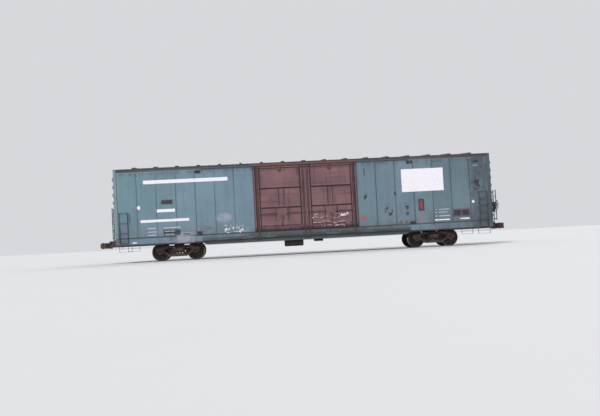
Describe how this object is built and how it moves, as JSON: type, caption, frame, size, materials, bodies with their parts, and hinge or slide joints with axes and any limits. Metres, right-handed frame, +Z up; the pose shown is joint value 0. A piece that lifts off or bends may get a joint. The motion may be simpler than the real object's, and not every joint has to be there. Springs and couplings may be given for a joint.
{
  "type": "double plug-door railroad boxcar",
  "caption": "Long railroad boxcar with paired plug doors on each side, corrugated ends, swivelling trucks with rolling wheelsets, and couplers that swing and open.",
  "frame": {"origin": "mid-car, centre of the box on the plane through the lowest points of the wheel flanges", "axes": "+X along the car to the hand brake end, +Y across the car, +Z up"},
  "size_m": [20.668, 3.244, 4.739],
  "materials": {
    "body_green": "faded and chalky paint",
    "door_brown": "flat oxide brown paint",
    "roof_metal": "weathered dark metal",
    "lock_steel": "worn grey brown paint",
    "board_brown": "painted board",
    "underframe_dark": "dark grime",
    "dark_metal": "dark grime",
    "cast_dark": "rusty casting under dust",
    "cast_rust": "rusty casting",
    "spring_steel": "rusty spring steel",
    "wheel_steel": "rusty plate, bright tread",
    "floor_wood": "worn planks"
  },
  "bodies": {
    "carbody": {"air_reservoir": "dark_metal", "angle_cocks": "dark_metal", "body_bolsters": "underframe_dark", "brake_cylinder": "dark_metal", "brake_rods": "dark_metal", "brake_wheel": "dark_metal", "card_boards": "board_brown", "center_plates": "underframe_dark", "center_sill": "underframe_dark", "control_valve": "cast_dark", "crossbearers": "underframe_dark", "door_far_a": "door_brown", "door_far_b": "door_brown", "door_frame_far": "door_brown", "door_frame_near": "door_brown", "door_near_a": "door_brown", "door_near_b": "door_brown", "end_ladders": "body_green", "end_platforms": "roof_metal", "end_sills": "body_green", "end_wall_a": "body_green", "end_wall_b": "body_green", "floor": "floor_wood", "floor_stringers": "underframe_dark", "hand_brake": "dark_metal", "jack_pads": "underframe_dark", "lock_gear": "lock_steel", "lower_tracks": "lock_steel", "roof": "roof_metal", "side_ladders": "body_green", "side_plates": "roof_metal", "side_sills": "body_green", "side_wall_far_a": "body_green", "side_wall_far_b": "body_green", "side_wall_near_a": "body_green", "side_wall_near_b": "body_green", "sill_steps": "body_green", "train_pipe": "dark_metal", "uncoupling_levers": "dark_metal", "upper_tracks": "roof_metal"},
    "truck_a": {"side_frames_a": "cast_dark", "truck_bolster_a": "cast_dark", "spring_nests_a": "spring_steel", "bearings_a": "cast_dark", "brake_beams_a": "cast_dark"},
    "truck_b": {"side_frames_b": "cast_dark", "truck_bolster_b": "cast_dark", "spring_nests_b": "spring_steel", "bearings_b": "cast_dark", "brake_beams_b": "cast_dark"},
    "coupler_a": {"coupler_a": "cast_rust"},
    "coupler_b": {"coupler_b": "cast_rust"},
    "knuckle_a": {"knuckle_a": "cast_rust"},
    "knuckle_b": {"knuckle_b": "cast_rust"},
    "wheelset_1": {"wheelset_1": "wheel_steel"},
    "wheelset_2": {"wheelset_2": "wheel_steel"},
    "wheelset_3": {"wheelset_3": "wheel_steel"},
    "wheelset_4": {"wheelset_4": "wheel_steel"}
  },
  "joints": [
    {"name": "truck_a_swivel", "type": "hinge", "parent": "carbody", "child": "truck_a", "pos_m": [-6.4, 0, 0.67], "axis": [0, 0, 1], "range_deg": [-6, 6]},
    {"name": "truck_b_swivel", "type": "hinge", "parent": "carbody", "child": "truck_b", "pos_m": [6.4, 0, 0.67], "axis": [0, 0, 1], "range_deg": [-6, 6]},
    {"name": "wheelset_1_roll", "type": "hinge", "parent": "truck_a", "child": "wheelset_1", "pos_m": [-7.2635, 0, 0.444], "axis": [0, 1, 0], "continuous": true},
    {"name": "wheelset_2_roll", "type": "hinge", "parent": "truck_a", "child": "wheelset_2", "pos_m": [-5.5365, 0, 0.444], "axis": [0, 1, 0], "continuous": true},
    {"name": "wheelset_3_roll", "type": "hinge", "parent": "truck_b", "child": "wheelset_3", "pos_m": [5.5365, 0, 0.444], "axis": [0, 1, 0], "continuous": true},
    {"name": "wheelset_4_roll", "type": "hinge", "parent": "truck_b", "child": "wheelset_4", "pos_m": [7.2635, 0, 0.444], "axis": [0, 1, 0], "continuous": true},
    {"name": "coupler_a_swing", "type": "hinge", "parent": "carbody", "child": "coupler_a", "pos_m": [-9.35, 0, 0.901], "axis": [0, 0, 1], "range_deg": [-7, 7]},
    {"name": "knuckle_a_open", "type": "hinge", "parent": "coupler_a", "child": "knuckle_a", "pos_m": [-10.175, -0.118, 0.901], "axis": [0, 0, 1], "range_deg": [0, 50]},
    {"name": "coupler_b_swing", "type": "hinge", "parent": "carbody", "child": "coupler_b", "pos_m": [9.35, 0, 0.901], "axis": [0, 0, 1], "range_deg": [-7, 7]},
    {"name": "knuckle_b_open", "type": "hinge", "parent": "coupler_b", "child": "knuckle_b", "pos_m": [10.175, 0.118, 0.901], "axis": [0, 0, 1], "range_deg": [0, 50]}
  ]
}
